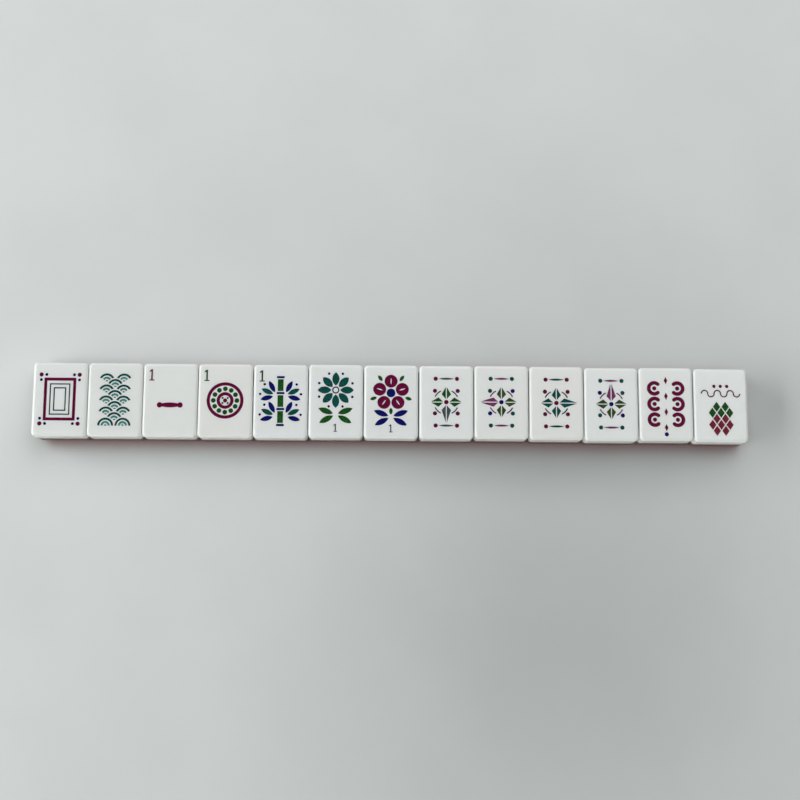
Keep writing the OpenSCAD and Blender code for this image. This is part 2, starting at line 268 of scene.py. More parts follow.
def lean(finish, upright, flat):
    """1 where the normal's own Z is below upright, 0 where it is above flat, and soft between them."""
    upward = finish.axis("Z", finish.node("ShaderNodeTexCoord", output="Normal"))
    return 1 - finish.step(upward, upright, flat)


def tile_shade(finish, seed):
    """A number from 0 to 1 that is the same all over one tile."""
    count = finish.axis("X") * (1 / PITCH) + 0.5 + seed
    number = finish.node("ShaderNodeMath", {"operation": "FLOOR"}, {0: count})
    return finish.node("ShaderNodeTexWhiteNoise", {"noise_dimensions": "1D"}, {"W": number})


def scratches(finish, seed):
    """Hair lines in two directions, worn in by sliding over a table."""
    along = finish.noise(SCRATCH, 1, stretch=(0.012, 1, 1), twist=seed)
    across = finish.noise(SCRATCH, 1, stretch=(1, 0.015, 1), twist=seed + 0.1)
    return finish.step(along, 0.66, 0.74) + finish.step(across, 0.68, 0.76)


print("scratches are about", round(SCRATCH / MM, 2), "mm wide")

# %% [markdown]
# ## White cast resin
# The faces are sawn from cast sheets and tumbled until the rims shine. Close up the white isn't
# even: it has faint clouds a few millimetres wide and a finer grain. Light enters the resin and
# comes out again nearby, which the Principled shader calls subsurface, and it is why the upright
# sides look nearly as bright as the face. The lowest millimetres are tinted olive. The rims are
# glossier and the sides a shade darker.

# %% White resin
CLOUD = 7 * MM
OLIVE_TINT_HEIGHT = 3 * MM
WAVE = 2.4 * MM
SIDE_LEAN = (0.05, 0.4)
white = Finish("white_cast_resin")
clouds = white.noise(CLOUD, 4, 0.55, twist=0.6)
grain = white.noise(SPECK, 3)
rims = lean(white, *RIM_LEAN)
sides = lean(white, *SIDE_LEAN)
lines = scratches(white, 0.2)
tone = white.blend(clouds, colour(228, 234, 233), colour(235, 238, 237))
tone = white.blend(tile_shade(white, 40) * 0.6, tone, colour(232, 232, 226))
tone = white.blend(white.step(grain, 0.35, 0.75) * 0.12, tone, colour(215, 220, 221))
tone = white.blend(sides * (0.35 + clouds * 0.3), tone, colour(232, 233, 228))
# tints the lowest millimetres of the white olive
olive_tinted = 1 - white.step(white.axis("Z"), WHITE_Z, WHITE_Z + OLIVE_TINT_HEIGHT)
tone = white.blend(olive_tinted * 0.5, tone, colour(230, 231, 204))
waves = white.bump(white.noise(WAVE, 2), WAVE_HEIGHT)
WHITE = white.surface(
    Base_Color=tone,
    Roughness=0.23 + grain * 0.06 - rims * 0.02 + lines * 0.08,
    Normal=white.bump(grain * 0.4 - lines * 0.5, MARK_HEIGHT, waves),
    Subsurface_Weight=0.8,
    Subsurface_Radius=(1, 0.97, 0.92),
    Subsurface_Scale=1.2 * MM,
    Specular_IOR_Level=0.5,
)
print("white resin has", len(white.tree.nodes), "nodes")

# %% [markdown]
# ## The olive stripe and the mauve back
# The two tinted sheets are the same resin with pigment stirred in. The pigment never mixes quite
# evenly, so the colour swims in soft swirls: a noise pattern whose own place is bent by its
# distortion. The back is a little clear, so light reaches deeper into it. Both sheets rub on tables
# and carry the same scratches.

# %% Tinted resins
TINTED_WAVE = 2 * MM
SCRATCHED = colour(220, 205, 205)


def tinted_resin(name, light, dark, patch, depth, seed):
    """Resin with swirls as wide as patch, into which light reaches depth. seed sets its marks apart."""
    resin = Finish(name)
    swirl = resin.noise(patch, 5, 0.6, stretch=(1, 1, 2.5), twist=2.2)
    grain = resin.noise(SPECK, 3)
    rims = lean(resin, *RIM_LEAN)
    lines = scratches(resin, seed)
    tone = resin.blend(resin.step(swirl, 0.3, 0.7), colour(*dark), colour(*light))
    tone = resin.blend(tile_shade(resin, seed) * 0.35, tone, colour(*dark))
    tone = resin.blend(lines * 0.1, tone, SCRATCHED)
    waves = resin.bump(resin.noise(TINTED_WAVE, 2), WAVE_HEIGHT)
    return resin.surface(
        Base_Color=tone,
        Roughness=0.24 + grain * 0.08 + rims * 0.05 + lines * 0.1,
        Normal=resin.bump(grain * 0.4 - lines * 0.6, MARK_HEIGHT, waves),
        Subsurface_Weight=0.5,
        Subsurface_Radius=(1, 0.7, 0.72),
        Subsurface_Scale=depth,
    )


STRIPE = tinted_resin("olive_resin", (92, 92, 26), (62, 66, 16), patch=3 * MM, depth=1.2 * MM, seed=12)
BACK = tinted_resin("mauve_resin", (116, 84, 85), (93, 65, 68), patch=5 * MM, depth=3 * MM, seed=27)
print("tinted resins:", STRIPE.name, BACK.name)

# %% [markdown]
# ## Enamel
# The enamel is brushed into the engraving and wiped off the face. It is thickest, and so darkest,
# where it climbs the walls of a cell, and pigment settles a little unevenly in the middle. The
# pools' own height tells the shader where that is: the rim of a pool stands higher than its middle.
# The real enamel is a satin one that throws back almost no light of its own, so its specular level
# is low. One function makes all the inks, from a light and a dark tone of each.

# %% Enamel inks
MENISCUS = 0.09 * MM
SETTLING = 0.9 * MM
BRUSH = 0.14 * MM
BRUSH_HEIGHT = 0.004 * MM
POOL_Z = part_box(TILES[0] + "_paint")[1].z
INKS = {
    "magenta": ((110, 2, 58), (82, 0, 44)),
    "teal": ((6, 84, 76), (0, 56, 54)),
    "light_teal": ((84, 160, 148), (46, 122, 112)),
    "blue": ((8, 16, 108), (0, 6, 72)),
    "green": ((30, 88, 26), (8, 58, 10)),
    "olive": ((58, 82, 36), (36, 54, 22)),
    "grey": ((84, 94, 98), (52, 60, 66)),
    "mauve": ((132, 62, 108), (96, 32, 78)),
    "red_brown": ((134, 42, 62), (98, 22, 36)),
}


def enamel(name, light, dark):
    ink = Finish("enamel_" + name)
    rise = ink.step(ink.axis("Z"), POOL_Z - MENISCUS, POOL_Z)
    settled = ink.noise(SETTLING, 4, 0.6, twist=0.8)
    brushed = ink.noise(BRUSH, 2, stretch=(1, 0.25, 1))
    tone = ink.blend(ink.step(settled, 0.3, 0.7), colour(*dark), colour(*light))
    tone = ink.blend(rise * 0.75, tone, colour(*dark))
    return ink.surface(
        Base_Color=tone,
        Roughness=0.34 + settled * 0.12 - rise * 0.08,
        Normal=ink.bump(brushed + settled * 2, BRUSH_HEIGHT),
        Specular_IOR_Level=0.07,
    )


ENAMELS = {name: enamel(name, *tones) for name, tones in INKS.items()}
print(len(ENAMELS), "inks:", ", ".join(ENAMELS))

# %% [markdown]
# ## Smooth shading by rule
# A mesh is flat facets, and smooth shading hides them by blending the directions, called normals,
# in which its corners face. Left alone, Blender blends the flat face with the rim next to it, and
# the flat part looks like a pillow. But the direction at any point of a rounded slab is known
# exactly, so it is worked out and stored: straight up on the face, sideways on the walls, and
# turning from one to the other over the rim. Facets that aren't part of the slab stay flat.

# %% Normals of a rounded slab
SLAB_TURN = 40


def slab_normal(point, centre, bottom, top):
    """The direction that the skin of a slab faces. bottom and top are (height, rim radius), 0 if sharp."""
    offset = Vector((point.x - centre.x, point.y - centre.y, 0))
    over_x = max(abs(offset.x) - TILE_WIDTH / 2 + CORNER_ROUND, 0)
    over_y = max(abs(offset.y) - TILE_HEIGHT / 2 + CORNER_ROUND, 0)
    outward = Vector((math.copysign(over_x, offset.x), math.copysign(over_y, offset.y), 0))
    inside = CORNER_ROUND - outward.length
    for (height, rim), sign in ((top, 1), (bottom, -1)):
        depth = (height - point.z) * sign
        if rim > 0 and depth < rim:
            sideways = max(rim - inside, 0)
            return (outward.normalized() * sideways + Vector((0, 0, sign)) * (rim - depth)).normalized()
    return outward.normalized()


def shade_slab(mesh, centre, bottom, top):
    """Stores the slab's own directions on a mesh, except where a facet differs too much from them."""
    mesh.shade_smooth()
    most = math.cos(math.radians(SLAB_TURN))
    normals = []
    for polygon in mesh.polygons:
        for corner in polygon.vertices:
            rule = slab_normal(mesh.vertices[corner].co, centre, bottom, top)
            normals.append(rule if rule.dot(polygon.normal) > most else polygon.normal.copy())
    mesh.normals_split_custom_set(normals)


near_corner = HIGH - Vector((0.5, 0.5, 0.5)) * MM
direction = slab_normal(near_corner, middle(TILES[0]), (WHITE_Z, 0), (FACE_Z, FACE_RIM))
print("a corner faces", [round(part, 2) for part in direction])

# %% [markdown]
# ## Pieces from meshes
# Every piece ends the same way: it gets its material, it is linked to the scene, it rides on its
# tile's body, and the solid that it stands for is hidden.

# %% Finishing a piece
SAME_PLACE = 1e-7


def finish_piece(name, mesh, material, tile, layer):
    mesh.materials.clear()
    mesh.materials.append(material)
    piece = bpy.data.objects.new(name, mesh)
    bpy.context.scene.collection.objects.link(piece)
    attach(piece, tile)
    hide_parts(tile + "_" + layer)


def merged(node):
    """A bmesh of a solid's triangles with their doubled corners joined."""
    loose = bmesh.new()
    loose.from_mesh(frame["nodes"][node].data)
    bmesh.ops.remove_doubles(loose, verts=loose.verts, dist=SAME_PLACE)
    return loose


# %% [markdown]
# ## The white faces
# The engraved faces come from the solids, because their pictures have to stay where they are cut.
# A cutter leaves an edge that tumbling then softens, so the mouth of every engraved cell gets a
# small bevel. The edges to bevel are found by rule: they lie in the plane of the face, and one of
# their two facets is level while the other stands upright.

# %% Faces with softened engraving
MOUTH_BEVEL = 0.05 * MM
SAME_HEIGHT = 1e-6
LEVEL = 0.999
UPRIGHT = 0.1


def mouth_edges(face):
    found = []
    for edge in face.edges:
        if len(edge.link_faces) != 2 or any(abs(v.co.z - FACE_Z) > SAME_HEIGHT for v in edge.verts):
            continue
        steep, flat = sorted(abs(side.normal.z) for side in edge.link_faces)
        if flat > LEVEL and steep < UPRIGHT:
            found.append(edge)
    return found


mouths = 0
for tile in TILES:
    face = merged(tile + "_face")
    face.normal_update()
    edges = mouth_edges(face)
    mouths += len(edges)
    bmesh.ops.bevel(
        face, geom=edges, offset=MOUTH_BEVEL, segments=2, profile=0.5, affect="EDGES", clamp_overlap=True,
        loop_slide=False,
    )
    mesh = bpy.data.meshes.new(tile + "_white")
    face.to_mesh(mesh)
    face.free()
    shade_slab(mesh, middle(tile), (WHITE_Z, 0), (FACE_Z, FACE_RIM))
    finish_piece(tile + "_white", mesh, WHITE, tile, "face")
print("bevelled", mouths, "edges round the engraved cells")

# %% [markdown]
# ## Geometry Nodes: a slab that follows a rule
# The stripe and the back have one shape each, a rectangle with round corners and a rounded rim. That
# is a rule, so it is given as a tree of Geometry Nodes: an outline that is swept with a profile of
# two quarter arcs and a wall, then closed with flat caps. The caps come from the sweep's own open
# edges, so every corner meets exactly, and merging by distance closes the shell.

# %% Helpers for Geometry Nodes
SOCKETS = {
    "size": "NodeSocketFloat",
    "count": "NodeSocketInt",
    "place": "NodeSocketVector",
    "finish": "NodeSocketMaterial",
    "shape": "NodeSocketGeometry",
}


class Shape(Nodes):
    """A Geometry Nodes tree with named inputs."""

    def __init__(self, name, **inputs):
        super().__init__(bpy.data.node_groups.new(name, "GeometryNodeTree"))
        self.tree.interface.new_socket("Shape", in_out="OUTPUT", socket_type=SOCKETS["shape"])
        for label, kind in inputs.items():
            label = label.replace("_", " ")
            self.tree.interface.new_socket(label, in_out="INPUT", socket_type=SOCKETS[kind])

    def given(self, label):
        return self.node("NodeGroupInput", output=label)

    def close(self, shape):
        """Ends the tree: copies become real mesh, and the material goes on."""
        real = self.node("GeometryNodeRealizeInstances", {}, {0: shape})
        finish = self.given("Finish")
        done = self.node("GeometryNodeSetMaterial", {}, {"Geometry": real, "Material": finish})
        self.node("NodeGroupOutput", {}, {0: done})

    def grow(self, start=None, **values):
        """Runs the tree once and gives the result as a plain mesh."""
        host = bpy.data.objects.new("host", start or bpy.data.meshes.new("host"))
        bpy.context.scene.collection.objects.link(host)
        modifier = host.modifiers.new("shape", "NODES")
        modifier.node_group = self.tree
        for item in self.tree.interface.items_tree:
            label = item.name.replace(" ", "_")
            if item.in_out == "INPUT" and label in values:
                modifier[item.identifier] = values[label]
        graph = bpy.context.evaluated_depsgraph_get()
        mesh = bpy.data.meshes.new_from_object(host.evaluated_get(graph), depsgraph=graph)
        host.modifiers.clear()
        bpy.data.objects.remove(host)
        return mesh


print("geometry helpers ready")

# %% Helpers for the slab
slab = Shape(
    "rounded_slab", Width="size", Height="size", Corner="size", Bottom="size", Top="size", Low_Rim="size",
    High_Rim="size", Corner_Steps="count", Rim_Steps="count", Place="place", Finish="finish",
)


def upright(z):
    """A point on the profile's wall. Curve to Mesh turns a profile's Y downwards, hence the sign."""
    return slab.node("ShaderNodeCombineXYZ", {}, {"Y": -1 * z})


def rim_arc(radius, height, start):
    """A quarter circle of the profile, bulging outwards, with its centre one radius inwards."""
    arc = slab.node("GeometryNodeCurveArc", {"mode": "RADIUS"}, {
        "Resolution": slab.given("Rim Steps"), 4: radius, "Start Angle": start, "Sweep Angle": math.pi / 2,
    })
    centre = slab.node("ShaderNodeCombineXYZ", {}, {"X": -1 * radius, "Y": -1 * height})
    return slab.node("GeometryNodeTransform", {}, {"Geometry": arc, "Translation": centre})


def cap(shell, operation, height):
    """A flat lid on the shell's open edge above or below its middle. Fill Curve lays it on Z = 0."""
    sides = slab.node("GeometryNodeInputMeshEdgeNeighbors")
    is_open = slab.node("FunctionNodeCompare", {"data_type": "INT", "operation": "EQUAL"}, {2: sides, 3: 1})
    z = slab.node("ShaderNodeSeparateXYZ", {}, {0: slab.node("GeometryNodeInputPosition")}, output="Z")
    on_side = slab.node("FunctionNodeCompare", {"operation": operation}, {0: z, 1: middle_z})
    chosen = slab.node("FunctionNodeBooleanMath", {}, {0: is_open, 1: on_side})
    loop = slab.node("GeometryNodeMeshToCurve", {}, {"Mesh": shell, "Selection": chosen})
    lid = slab.node("GeometryNodeFillCurve", {"mode": "NGONS"}, {"Curve": loop})
    lift = slab.node("ShaderNodeCombineXYZ", {}, {"Z": height})
    return slab.node("GeometryNodeTransform", {}, {"Geometry": lid, "Translation": lift})


middle_z = (slab.given("Bottom") + slab.given("Top")) * 0.5
print("the slab tree starts with", len(slab.tree.nodes), "nodes")

# %% The slab tree
low = slab.given("Bottom") + slab.given("Low Rim")
high = slab.given("Top") - slab.given("High Rim")
wall = slab.node("GeometryNodeCurvePrimitiveLine", {}, {"Start": upright(high), "End": upright(low)})
arcs = [rim_arc(slab.given("Low Rim"), low, 0), rim_arc(slab.given("High Rim"), high, -math.pi / 2)]
profile = slab.node("GeometryNodeJoinGeometry", {}, {0: [wall, *arcs]})
outline = slab.node("GeometryNodeCurvePrimitiveQuadrilateral", {}, {
    "Width": slab.given("Width"), "Height": slab.given("Height"),
})
outline = slab.node("GeometryNodeFilletCurve", {"mode": "POLY"}, {
    "Curve": outline, "Count": slab.given("Corner Steps"), "Radius": slab.given("Corner"),
})
outline = slab.node("GeometryNodeSetCurveNormal", {"mode": "Z_UP"}, {"Curve": outline})
shell = slab.node("GeometryNodeCurveToMesh", {}, {"Curve": outline, "Profile Curve": profile})
shell = slab.node("GeometryNodeMergeByDistance", {}, {"Geometry": shell, "Distance": SAME_PLACE})
lid = cap(shell, "GREATER_THAN", slab.given("Top"))
floor_lid = slab.node("GeometryNodeFlipFaces", {}, {"Mesh": cap(shell, "LESS_THAN", slab.given("Bottom"))})
body = slab.node("GeometryNodeJoinGeometry", {}, {0: [shell, lid, floor_lid]})
body = slab.node("GeometryNodeMergeByDistance", {}, {"Geometry": body, "Distance": SAME_PLACE})
body = slab.node("GeometryNodeTransform", {}, {"Geometry": body, "Translation": slab.given("Place")})
slab.close(body)
print("the slab tree has", len(slab.tree.nodes), "nodes")

# %% Backs and stripes
CORNER_STEPS = 12
RIM_STEPS = 9
SHEETS = {
    "back": (0.0, STRIPE_Z, BACK_RIM, BACK, "back_tint"),
    "stripe": (STRIPE_Z, WHITE_Z, 0.0, STRIPE, "stripe_green"),
}
for tile in TILES:
    centre = middle(tile)
    for layer, (bottom, top, rim, finish, slot) in SHEETS.items():
        mesh = slab.grow(
            Width=TILE_WIDTH, Height=TILE_HEIGHT, Corner=CORNER_ROUND, Bottom=bottom, Top=top, Low_Rim=rim,
            High_Rim=0.0, Corner_Steps=CORNER_STEPS, Rim_Steps=RIM_STEPS, Place=(centre.x, centre.y, 0),
            Finish=finish,
        )
        shade_slab(mesh, centre, (bottom, rim), (top, 0))
        finish_piece(tile + "_" + layer + "_slab", mesh, finish, tile, layer)
print("last slab has", len(mesh.polygons), "faces")

# %% [markdown]
# ## Taking the pools apart
# The solids hold every pool of a tile in one node, so the pools are taken apart here: corners that
# are joined by edges belong to one pool. A flood fill finds them: it starts at any corner, walks
# along the edges until no new corner turns up, and starts again with what is left. Each pool then
# knows its size and its place, measured from its tile's middle, in millimetres.

# %% Pools
DOT_MM = 2
NEAR_DEGREES = 10


class Pool:
    """One patch of enamel: its corners, its size and where it lies on its tile."""

    def __init__(self, corners, centre):
        self.corners = corners
        spots = np.array([corner.co for corner in corners])
        low, high = spots.min(0), spots.max(0)
        self.x, self.y = ((low + high) / 2 - np.array(centre))[:2] / MM
        self.w, self.h = (high - low)[:2] / MM
        self.radius = (self.w + self.h) / 4
        self.is_dot = self.w < DOT_MM and self.h < DOT_MM
        self.angle = math.degrees(math.atan2(self.y, self.x)) % 360

    def near(self, angle):
        """Whether the pool lies in the direction of an angle, seen from the tile's middle."""
        return abs((self.angle - angle + 180) % 360 - 180) < NEAR_DEGREES


def pools_of(paint, centre):
    """The separate pools of a bmesh, each as a Pool."""
    left = set(paint.verts)
    pools = []
    while left:
        reach = [left.pop()]
        corners = []
        while reach:
            corner = reach.pop()
            corners.append(corner)
            for edge in corner.link_edges:
                other = edge.other_vert(corner)
                if other in left:
                    left.remove(other)
                    reach.append(other)
        pools.append(Pool(corners, centre))
    return sorted(pools, key=lambda pool: (round(pool.y, 3), round(pool.x, 3)))


print("a dot is less than", DOT_MM, "mm wide")

# %% [markdown]
# ## Sorting the pools by ink
# Which ink a pool has follows from the picture it is in, and in the picture from its size and its
# place. The rules below are read from the top, and the first that holds names the ink. So each
# picture's last rule holds for whatever is left.

# %% Ink rules
def compass_rules(turn, star, stem, dots, more_dots):
    """The first dot is an eighth of a turn past the long arm, and dots on the other diagonal differ."""
    return [
        (lambda p: p.is_dot and math.hypot(p.x, p.y) < 1, dots),
        (lambda p: p.is_dot and (p.near(turn + 45) or p.near(turn + 225)) and abs(p.y) < 7, dots),
        (lambda p: p.is_dot, more_dots),
        (lambda p: max(p.w, p.h) > 6 or min(p.w, p.h) > 2, stem),
        (lambda p: True, star),
    ]


INK_RULES = {
    "frame_tile": [
        (lambda p: p.w > 11, "magenta"), (lambda p: p.w > 4, "teal"),
        (lambda p: p.w > 1.3, "magenta"), (lambda p: True, "blue"),
    ],
    "green_dragon": [(lambda p: 2 < p.w < 4.5, "light_teal"), (lambda p: True, "teal")],
    "one_crak": [(lambda p: True, "magenta")],
    "one_dot": [(lambda p: math.hypot(p.x, p.y) < 0.1, "magenta"), (lambda p: True, "green")],
    "one_bam": [
        (lambda p: p.y > 8 and p.x < -5, "green"), (lambda p: abs(p.x) < 0.1 and p.h > 2, "green"),
        (lambda p: abs(p.x) < 0.1, "blue"), (lambda p: p.w < 1 and p.h < 1, "magenta"),
        (lambda p: 4.6 < p.w < 4.9, "teal"), (lambda p: True, "blue"),
    ],
    "flower_teal": [
        (lambda p: p.y < -9, "grey"), (lambda p: p.y < -2.5 and p.w > 2, "green"),
        (lambda p: p.w < 1.2 and p.h < 1.2, "blue"),
        (lambda p: abs(p.w - 2.9) < 0.1 and abs(p.h - 2.9) < 0.1, "blue"), (lambda p: True, "teal"),
    ],
    "flower_magenta": [
        (lambda p: p.y < -9, "blue"), (lambda p: abs(p.x) < 0.1 and 2 < p.y < 5, "blue"),
        (lambda p: p.w > 4 and p.h > 4, "magenta"), (lambda p: p.w > 4, "blue"), (lambda p: True, "green"),
    ],
    "south": compass_rules(-90, "green", "grey", "magenta", "magenta"),
    "west": compass_rules(180, "olive", "mauve", "blue", "teal"),
    "east": compass_rules(0, "teal", "teal", "magenta", "magenta"),
    "north": compass_rules(90, "olive", "mauve", "blue", "teal"),
    "red_dragon": [(lambda p: p.is_dot and p.y < -10, "blue"), (lambda p: True, "magenta")],
    "joker": [
        (lambda p: p.w < 2 or p.w > 5, "magenta"), (lambda p: p.y < -5.5, "red_brown"),
        (lambda p: True, "green"),
    ],
}


def ink_of(tile, pool):
    return next(ink for rule, ink in INK_RULES[tile] if rule(pool))


print("rules for", len(INK_RULES), "pictures")

# %% [markdown]
# ## Geometry Nodes: round drops of enamel
# More than a hundred pools are plain round dots. Enamel creeps up the wall of its cell, so a dot is
# a little dish, low in the middle and high at its rim. One dish is made from a cylinder with rings
# in its top: `Rim Share` pushes the rings outwards, where the surface bends, and the height follows
# the distance from the middle, raised to a power. The tree stands a copy on every point that it is
# given, as wide as the point's own "drop_radius", and turns the copies into real mesh at the end.

# %% The drop tree
DISH_POWER = 6
drops = Shape(
    "enamel_drops", Points="shape", Sides="count", Rings="count", Rim_Share="size", Meniscus="size",
    Depth="size", Finish="finish",
)
dish = drops.node("GeometryNodeMeshCylinder", {"fill_type": "TRIANGLE_FAN"}, {
    "Vertices": drops.given("Sides"), "Fill Segments": drops.given("Rings"), "Radius": 1.0,
    "Depth": drops.given("Depth"),
})
spot = drops.node("GeometryNodeInputPosition")
flat_spot = drops.node("ShaderNodeVectorMath", {"operation": "MULTIPLY"}, {0: spot, 1: (1, 1, 0)})
distance = drops.node("ShaderNodeVectorMath", {"operation": "LENGTH"}, {0: flat_spot}, output="Value")
pushed = distance.maths("MAXIMUM", distance, 1e-6) ** (drops.given("Rim Share") - 1)
wide = drops.node("ShaderNodeCombineXYZ", {}, {"X": pushed, "Y": pushed, "Z": 1.0})
ringed = drops.node("ShaderNodeVectorMath", {"operation": "MULTIPLY"}, {0: spot, 1: wide})
dish = drops.node("GeometryNodeSetPosition", {}, {"Geometry": dish, "Position": ringed})
height = drops.node("ShaderNodeSeparateXYZ", {}, {0: spot}, output="Z")
is_top = drops.node("FunctionNodeCompare", {"operation": "GREATER_THAN"}, {0: height, 1: 0.0})
sink = (distance ** DISH_POWER - 1) * drops.given("Meniscus")
sunk = drops.node("ShaderNodeCombineXYZ", {}, {"Z": sink})
dish = drops.node("GeometryNodeSetPosition", {}, {"Geometry": dish, "Selection": is_top, "Offset": sunk})
radius = drops.node("GeometryNodeInputNamedAttribute", {}, {"Name": "drop_radius"})
scale = drops.node("ShaderNodeCombineXYZ", {}, {"X": radius, "Y": radius, "Z": 1.0})
points = drops.node("GeometryNodeMeshToPoints", {}, {"Mesh": drops.given("Points")})
copies = drops.node("GeometryNodeInstanceOnPoints", {}, {
    "Points": points, "Instance": dish, "Scale": scale,
})
drops.close(copies)
print("the drop tree has", len(drops.tree.nodes), "nodes")

# %% Drops for a tile
POOL_DEPTH = POOL_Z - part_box(TILES[0] + "_paint")[0].z
DROP_SIDES = 40
DROP_RINGS = 7
RIM_SHARE = 0.45


def round_drops(pools, centre, finish):
    """A mesh with one drop for each round pool."""
    z = POOL_Z - POOL_DEPTH / 2
    mesh = bpy.data.meshes.new("drop_points")
    mesh.from_pydata([(centre.x + p.x * MM, centre.y + p.y * MM, z) for p in pools], [], [])
    sizes = mesh.attributes.new("drop_radius", "FLOAT", "POINT")
    sizes.data.foreach_set("value", [p.radius * MM for p in pools])
    return drops.grow(
        mesh, Sides=DROP_SIDES, Rings=DROP_RINGS, Rim_Share=RIM_SHARE, Meniscus=MENISCUS, Depth=POOL_DEPTH,
        Finish=finish,
    )


print("pools are", round(POOL_DEPTH / MM, 2), "mm deep")

# %% [markdown]
# ## The other pools
# Frames, crests, petals and leaves keep the outline that the solids give them, because it has to fit
# its engraved cell. The meniscus is made by insetting the top: each round of `inset_region` adds a
# narrow band along the outline and lowers what lies inside it, first steeply and then gently.

# %% Helpers for pools
MENISCUS_BANDS = [(0.03, 0.4), (0.05, 0.35), (0.07, 0.25)]
SHARP_ENAMEL = 50
ROUND_MM = 0.02
ROUND_SHARE = 0.03


def with_meniscus(paint):
    """Lowers the middle of every pool in a bmesh, in bands of (width in mm, share of the depth)."""
    paint.normal_update()
    for width, share in MENISCUS_BANDS:
        lid = POOL_Z - MENISCUS
        top = [f for f in paint.faces if f.normal.z > LEVEL and f.calc_center_median().z > lid]
        bmesh.ops.inset_region(
            paint, faces=top, thickness=width * MM, depth=-share * MENISCUS, use_even_offset=True,
            use_boundary=True,
        )
        paint.normal_update()


def is_round(pool):
    """Whether a pool's top is a full disc, judged by its area."""
    top = {f for corner in pool.corners for f in corner.link_faces if f.normal.z > LEVEL}
    area = sum(f.calc_area() for f in top) / MM ** 2
    fullness = area / (math.pi * pool.radius ** 2)
    return abs(pool.w - pool.h) < ROUND_MM and abs(fullness - 1) < ROUND_SHARE


def copied_pools(paint, pools):
    """A new bmesh with the given pools of another."""
    chosen = {corner for pool in pools for corner in pool.corners}
    copy = bmesh.new()
    twins = {corner: copy.verts.new(corner.co) for corner in paint.verts if corner in chosen}
    for side in paint.faces:
        if side.verts[0] in chosen:
            copy.faces.new([twins[corner] for corner in side.verts])
    return copy


print("a meniscus has", len(MENISCUS_BANDS), "bands")

# %% Enamel pools
counts = {}
for tile in TILES:
    centre = middle(tile)
    by_ink = {}
    paint = merged(tile + "_paint")
    paint.normal_update()
    for pool in pools_of(paint, centre):
        by_ink.setdefault(ink_of(tile, pool), []).append(pool)
    for ink, pools in by_ink.items():
        finish = ENAMELS[ink]
        rounds = [pool for pool in pools if is_round(pool)]
        copy = copied_pools(paint, [pool for pool in pools if pool not in rounds])
        with_meniscus(copy)
        if rounds:
            dishes = round_drops(rounds, centre, finish)
            copy.from_mesh(dishes)
            bpy.data.meshes.remove(dishes)
        mesh = bpy.data.meshes.new(tile + "_" + ink)
        copy.to_mesh(mesh)
        copy.free()
        mesh.shade_smooth()
        mesh.set_sharp_from_angle(angle=math.radians(SHARP_ENAMEL))
        finish_piece(tile + "_" + ink + "_enamel", mesh, finish, tile, "paint")
        counts[ink] = counts.get(ink, 0) + len(pools)
    paint.free()
print("pools by ink:", counts)

# %% [markdown]
# ## The table's own colour, and painted shade on it
# The row lies on a pale table with a faint mottling. A floor that is one flat colour looks like an
# unfinished picture, so two soft noises tint it by a few parts in a hundred, far less than the
# shadows do, and a fine grain breaks its sheen. The photographed table also dims towards its lower
# right, more than the lamps explain, as when something out of view stands in the light, and so does
# the outer part of the row's shadow there. Two patches do that, each given by its middle, its reach
# and its depth: the distance from the middle goes through a bell curve that darkens the table's own
# colour.

# %% Table colour
MOTTLE = 60 * MM
DUST = 0.8 * MM
DUST_HEIGHT = 0.01 * MM
BLACK = colour(0, 0, 0)
# painted shade: two patches darken the table's colour where it lies in shadow
PAINTED_SHADE_PATCHES = [
    {"centre": (0.071, -0.083), "reach": (0.097, 0.122), "depth": 0.28},
    {"centre": (0.06, -0.026), "reach": (0.075, 0.011), "depth": 0.16},
]


def dimmed(finish, tone, centre, reach, depth):
    """Darkens a colour round a point of the table, most at the point itself."""
    spread = finish.node("ShaderNodeMapping", {}, {
        "Vector": finish.place, "Location": (-centre[0] / reach[0], -centre[1] / reach[1], 0),
        "Scale": (1 / reach[0], 1 / reach[1], 0),
    })
    away = finish.node("ShaderNodeVectorMath", {"operation": "LENGTH"}, {0: spread}, output="Value")
    return finish.blend(away.maths("EXPONENT", away * away * -1) * depth, tone, BLACK)


table_top = Finish("pale_table_top")
mottle = table_top.noise(MOTTLE, 3, 0.5)
dust = table_top.noise(DUST, 3, 0.6)
tone = table_top.blend(table_top.step(mottle, 0.3, 0.7), colour(216, 221, 220), colour(220, 225, 224))
tone = table_top.blend(table_top.step(dust, 0.62, 0.8) * 0.3, tone, colour(208, 212, 212))
# painted shade darkens the table's colour round each patch
for patch in PAINTED_SHADE_PATCHES:
    tone = dimmed(table_top, tone, **patch)
print("the table has", len(PAINTED_SHADE_PATCHES), "dim patches")

# %% [markdown]
# ## The mauve cast: painted shade round the tiles
# Round the tiles the table's colour is darkened and tinted mauve: painted shade, with painted mauve
# light such as comes out of the tinted sheets. It is strongest against the tiles and gone a few
# millimetres away. An Ambient Occlusion node gives it: it looks round from a point of the table and
# says how much of the sky the tiles within reach leave open. A cast painted by its place would stay
# behind as a stain when a tile is lifted, and this one leaves with the tile. Behind the row it is
# nearly grey, and the left end has none, because the light washes it out there.

# %% Mauve cast
CAST_REACH = 7.5 * MM
CAST_START = 7 * MM
CAST_GAIN = 2
CAST_FALL = 1.6
LEFT_END = CAD_BOX[0].x
